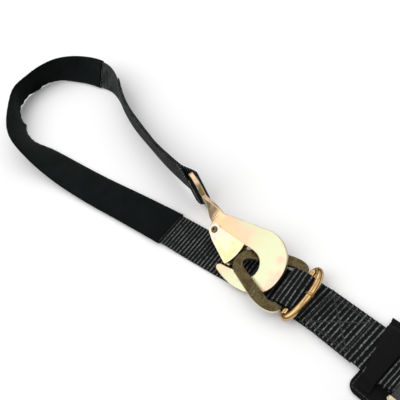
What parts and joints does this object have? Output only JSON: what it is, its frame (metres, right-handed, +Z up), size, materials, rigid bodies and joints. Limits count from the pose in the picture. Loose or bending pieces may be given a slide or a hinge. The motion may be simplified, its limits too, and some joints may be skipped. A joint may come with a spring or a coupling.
{
  "type": "ratchet tie down",
  "caption": "Ratchet tie down: padded webbing axle loop closed by a twisted snap hook onto a delta ring, with a dee ring, backing pad and ratchet.",
  "frame": {"origin": "on the floor under the middle of the ratchet's backing pad", "axes": "+Z up, -X from the ratchet towards the axle loop, as the part lies on a floor"},
  "size_m": [1.1441, 0.3256, 0.0716],
  "materials": {
    "webbing": "coarse woven polyester, ribs across the width",
    "sleeve_cloth": "dense matte woven sleeve",
    "pad_cloth": "matte felted pad",
    "yellow_zinc": "yellow zinc plate with faint pink and green bloom",
    "bright_zinc": "bright zinc plate",
    "olive_zinc": "olive brown zinc plate",
    "gold_plate": "polished gold zinc plate",
    "spring_steel": "bare spring steel",
    "grip_rubber": "matte moulded grip"
  },
  "bodies": {
    "strap_and_frame": {"axle_strap": "webbing", "wear_sleeve": "sleeve_cloth", "ratchet_strap": "webbing", "backing_pad": "pad_cloth", "pad_flap": "pad_cloth", "frame_plate_left": "yellow_zinc", "frame_plate_right": "yellow_zinc", "cross_plate": "yellow_zinc", "fixed_bolt": "bright_zinc", "bolt_nut": "bright_zinc", "bolt_spacer": "spring_steel", "spring_bar": "bright_zinc", "lock_spring": "spring_steel"},
    "hook": {"hook_body": "yellow_zinc", "latch_rivet": "bright_zinc", "latch_spring": "spring_steel"},
    "latch": {"hook_latch": "bright_zinc"},
    "delta": {"delta_ring": "olive_zinc"},
    "dee": {"dee_ring": "gold_plate"},
    "spool": {"spool_half_upper": "bright_zinc", "spool_half_lower": "bright_zinc", "ratchet_wheel_left": "bright_zinc", "ratchet_wheel_right": "bright_zinc", "spool_washer_left": "bright_zinc", "spool_washer_right": "bright_zinc"},
    "handle": {"handle_plate_left": "yellow_zinc", "handle_plate_right": "yellow_zinc", "handle_grip": "grip_rubber", "spring_seat": "bright_zinc", "drive_spring": "spring_steel"},
    "lock": {"lock_pawl": "bright_zinc"},
    "drive": {"drive_pawl": "bright_zinc"}
  },
  "joints": [
    {"name": "hook_swing", "type": "hinge", "parent": "strap_and_frame", "child": "hook", "pos_m": [-0.42476, 0.0889, 0.0351], "axis": [0, 0, 1], "range_deg": [-0.5, 1.5]},
    {"name": "latch_press", "type": "hinge", "parent": "hook", "child": "latch", "pos_m": [-0.36417, 0.05063, 0.02269], "axis": [-0.0018, -0.3362, 0.9418], "range_deg": [0, 20], "stiffness_Nm_per_rad": 0.05, "springref_deg": -28.65},
    {"name": "delta_hinge", "type": "hinge", "parent": "strap_and_frame", "child": "delta", "pos_m": [-0.24, 0.033, 0.0106], "axis": [0, 1, 0], "range_deg": [-0.5, 0.3]},
    {"name": "dee_flip", "type": "hinge", "parent": "strap_and_frame", "child": "dee", "pos_m": [-0.2295, 0.0335, 0.0105], "axis": [0, -1, 0], "range_deg": [0, 60]},
    {"name": "handle_swing", "type": "hinge", "parent": "strap_and_frame", "child": "handle", "pos_m": [0.04941, -0.00765, 0.032], "axis": [0.153, 0.9882, 0], "range_deg": [0, 160]},
    {"name": "spool_turn", "type": "hinge", "parent": "strap_and_frame", "child": "spool", "pos_m": [0.04941, -0.00765, 0.032], "axis": [0.153, 0.9882, 0], "continuous": true},
    {"name": "lock_release", "type": "slide", "parent": "strap_and_frame", "child": "lock", "axis": [-0.9882, 0.153, 0], "range_m": [0, 0.006], "stiffness_N_per_m": 400, "springref_m": -0.004, "deforming": ["lock_spring"]},
    {"name": "drive_pull", "type": "slide", "parent": "handle", "child": "drive", "axis": [-0.8558, 0.1325, 0.5], "range_m": [0, 0.006], "stiffness_N_per_m": 400, "springref_m": -0.004, "deforming": ["drive_spring"]}
  ]
}
